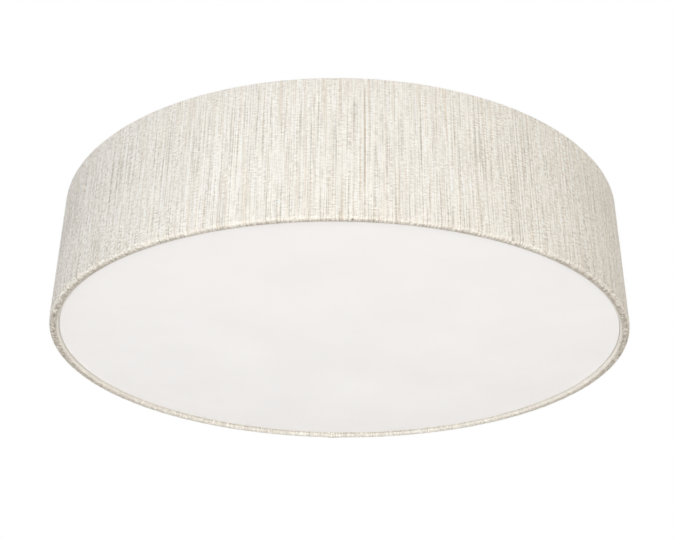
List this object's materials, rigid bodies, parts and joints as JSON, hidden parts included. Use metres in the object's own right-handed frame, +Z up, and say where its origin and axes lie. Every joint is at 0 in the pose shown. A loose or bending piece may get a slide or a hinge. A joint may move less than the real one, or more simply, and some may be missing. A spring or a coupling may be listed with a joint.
{
  "type": "flush mount ceiling light",
  "caption": "Round flush mount ceiling light: a shallow fabric drum shade closed below by a flat opal disc, with lamps inside.",
  "frame": {"origin": "centre of the mounting strap's two slots, in the plane of the ceiling", "axes": "+Z up into the ceiling along the drum's axis, X along the mounting strap"},
  "size_m": [0.61, 0.61, 0.1437],
  "materials": {
    "shade_fabric": "matte",
    "shade_liner": "matte",
    "white_steel": "satin",
    "zinc_steel": "satin",
    "bright_nickel": "polished",
    "green_screw": "satin",
    "opal_acrylic": "satin",
    "magnet": "polished",
    "porcelain": "gloss",
    "brass": "satin",
    "lamp_globe": "matte",
    "lamp_body": "satin",
    "lamp_cap": "satin",
    "block_plastic": "satin",
    "bushing_plastic": "satin",
    "lead_sleeve": "matte",
    "earth_insulation": "satin"
  },
  "bodies": {
    "ceiling_body": {"mounting_strap": "zinc_steel", "pan_studs": "zinc_steel", "cap_nuts": "bright_nickel", "earth_screw": "green_screw", "ceiling_pan": "white_steel", "floor_screws": "zinc_steel", "terminal_block": "block_plastic", "lead_bushings": "bushing_plastic", "earth_lead": "earth_insulation", "centre_contacts": "brass", "lampholder_rivets": "zinc_steel", "hanger_studs": "zinc_steel", "lead_sleeve_1": "lead_sleeve", "lampholder_bracket_1": "zinc_steel", "lampholder_body_1": "porcelain", "screw_shell_1": "brass", "arm_1": "white_steel", "lead_sleeve_2": "lead_sleeve", "lampholder_bracket_2": "zinc_steel", "lampholder_body_2": "porcelain", "screw_shell_2": "brass", "arm_2": "white_steel", "lead_sleeve_3": "lead_sleeve", "lampholder_bracket_3": "zinc_steel", "lampholder_body_3": "porcelain", "screw_shell_3": "brass", "arm_3": "white_steel", "lead_sleeve_4": "lead_sleeve", "lampholder_bracket_4": "zinc_steel", "lampholder_body_4": "porcelain", "screw_shell_4": "brass", "arm_4": "white_steel"},
    "shade": {"shade_fabric": "shade_fabric", "shade_liner": "shade_liner", "shade_top_ring": "white_steel", "shade_bottom_ring": "white_steel", "diffuser_seat_ring": "white_steel", "shade_lug_1": "white_steel", "shade_lug_2": "white_steel", "shade_lug_3": "white_steel", "shade_lug_4": "white_steel"},
    "diffuser": {"diffuser_disc": "opal_acrylic", "diffuser_magnets": "magnet"},
    "lamp_1": {"lamp_cap_1": "lamp_cap", "lamp_body_1": "lamp_body", "lamp_globe_1": "lamp_globe"},
    "lamp_2": {"lamp_cap_2": "lamp_cap", "lamp_body_2": "lamp_body", "lamp_globe_2": "lamp_globe"},
    "lamp_3": {"lamp_cap_3": "lamp_cap", "lamp_body_3": "lamp_body", "lamp_globe_3": "lamp_globe"},
    "lamp_4": {"lamp_cap_4": "lamp_cap", "lamp_body_4": "lamp_body", "lamp_globe_4": "lamp_globe"},
    "nut_1": {"knurled_nut_1": "bright_nickel"},
    "nut_2": {"knurled_nut_2": "bright_nickel"},
    "nut_3": {"knurled_nut_3": "bright_nickel"},
    "nut_4": {"knurled_nut_4": "bright_nickel"}
  },
  "joints": [
    {"name": "lamp_1_turn", "type": "hinge", "parent": "ceiling_body", "child": "lamp_1", "pos_m": [0.1, 0, -0.07], "axis": [1, 0, 0], "range_deg": [0, 1440]},
    {"name": "lamp_2_turn", "type": "hinge", "parent": "ceiling_body", "child": "lamp_2", "pos_m": [0, 0.1, -0.07], "axis": [0, 1, 0], "range_deg": [0, 1440]},
    {"name": "lamp_3_turn", "type": "hinge", "parent": "ceiling_body", "child": "lamp_3", "pos_m": [-0.1, 0, -0.07], "axis": [-1, 0, 0], "range_deg": [0, 1440]},
    {"name": "lamp_4_turn", "type": "hinge", "parent": "ceiling_body", "child": "lamp_4", "pos_m": [0, -0.1, -0.07], "axis": [0, -1, 0], "range_deg": [0, 1440]},
    {"name": "shade_lower", "type": "slide", "parent": "ceiling_body", "child": "shade", "axis": [0, 0, -1], "range_m": [0, 0.16]},
    {"name": "nut_1_turn", "type": "hinge", "parent": "shade", "child": "nut_1", "pos_m": [0.20153, 0.20153, -0.0335], "axis": [0, 0, -1], "range_deg": [0, 2520]},
    {"name": "nut_2_turn", "type": "hinge", "parent": "shade", "child": "nut_2", "pos_m": [-0.20153, 0.20153, -0.0335], "axis": [0, 0, -1], "range_deg": [0, 2520]},
    {"name": "nut_3_turn", "type": "hinge", "parent": "shade", "child": "nut_3", "pos_m": [-0.20153, -0.20153, -0.0335], "axis": [0, 0, -1], "range_deg": [0, 2520]},
    {"name": "nut_4_turn", "type": "hinge", "parent": "shade", "child": "nut_4", "pos_m": [0.20153, -0.20153, -0.0335], "axis": [0, 0, -1], "range_deg": [0, 2520]},
    {"name": "diffuser_release", "type": "slide", "parent": "shade", "child": "diffuser", "axis": [0, 0, -1], "range_m": [0, 0.06]}
  ]
}
